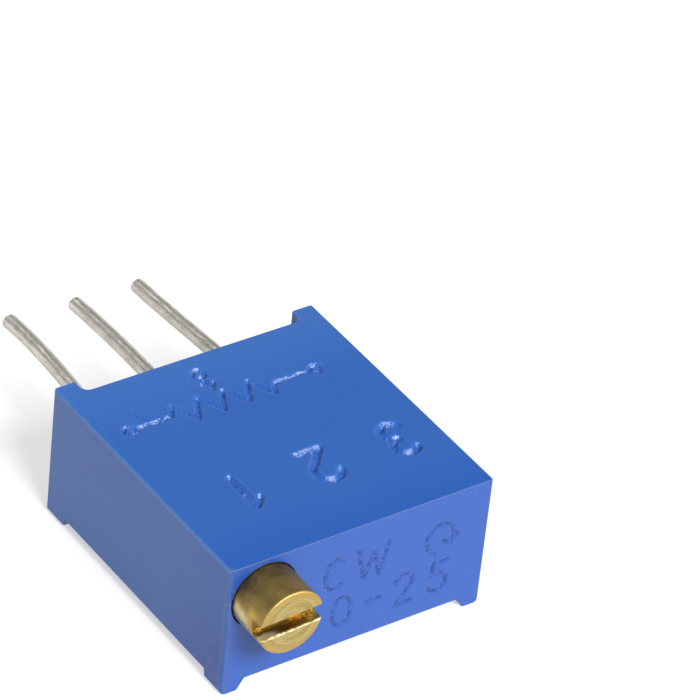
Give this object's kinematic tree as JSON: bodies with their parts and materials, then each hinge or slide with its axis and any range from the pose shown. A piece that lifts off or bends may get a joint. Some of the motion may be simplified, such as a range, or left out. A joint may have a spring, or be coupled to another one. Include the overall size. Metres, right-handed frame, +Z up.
{
  "type": "trimmer potentiometer",
  "caption": "Square multi-turn trimmer potentiometer: moulded blue case, slotted brass lead screw on one end, in-line wire pins on the other, sprung wiper on a printed track.",
  "frame": {"origin": "middle of the whole outline, pins and screw head included, at the height of the feet", "axes": "+Z up out of the label face, +Y towards the pins, -Y towards the slotted screw head, +X to the right seen from the screw head"},
  "size_m": [0.0096, 0.0178, 0.0048],
  "materials": {
    "housing_blue": "moulded satin, fine worn edges",
    "casting_resin": "cast resin, soft satin",
    "brass": "turned, slightly dull",
    "seal_rubber": "matt",
    "clip_steel": "stamped",
    "carriage_plastic": "moulded",
    "spring_alloy": "rolled, bright",
    "alumina": "fired, matt",
    "cermet_ink": "printed and fired, matt",
    "silver_ink": "printed and fired, dull",
    "tinned_wire": "dull tinned wire with drawing lines",
    "solder": "smooth solder"
  },
  "bodies": {
    "case": {"housing": "housing_blue", "epoxy_seal": "casting_resin", "clip_seal": "casting_resin", "retaining_clip": "clip_steel", "ceramic_substrate": "alumina", "resistive_track": "cermet_ink", "collector_track": "silver_ink", "end_termination_1": "silver_ink", "end_termination_3": "silver_ink", "terminal_pin_1": "tinned_wire", "terminal_pin_2": "tinned_wire", "terminal_pin_3": "tinned_wire", "solder_joint_1": "solder", "solder_joint_2": "solder", "solder_joint_3": "solder"},
    "screw": {"adjustment_screw": "brass", "o_ring": "seal_rubber"},
    "slider": {"carriage": "carriage_plastic", "wiper_spring": "spring_alloy"}
  },
  "joints": [
    {"name": "adjuster_turn", "type": "hinge", "parent": "case", "child": "screw", "pos_m": [-0.00349, -0.00744, 0.00349], "axis": [0, 1, 0], "range_deg": [-4500, 4500]},
    {"name": "carriage_travel", "type": "slide", "parent": "case", "child": "slider", "axis": [0, 1, 0], "range_m": [-0.00237, 0.00237]}
  ],
  "couplings": [
    {"joint": "adjuster_turn", "follows": "carriage_travel", "rad_per_m": -33069}
  ]
}
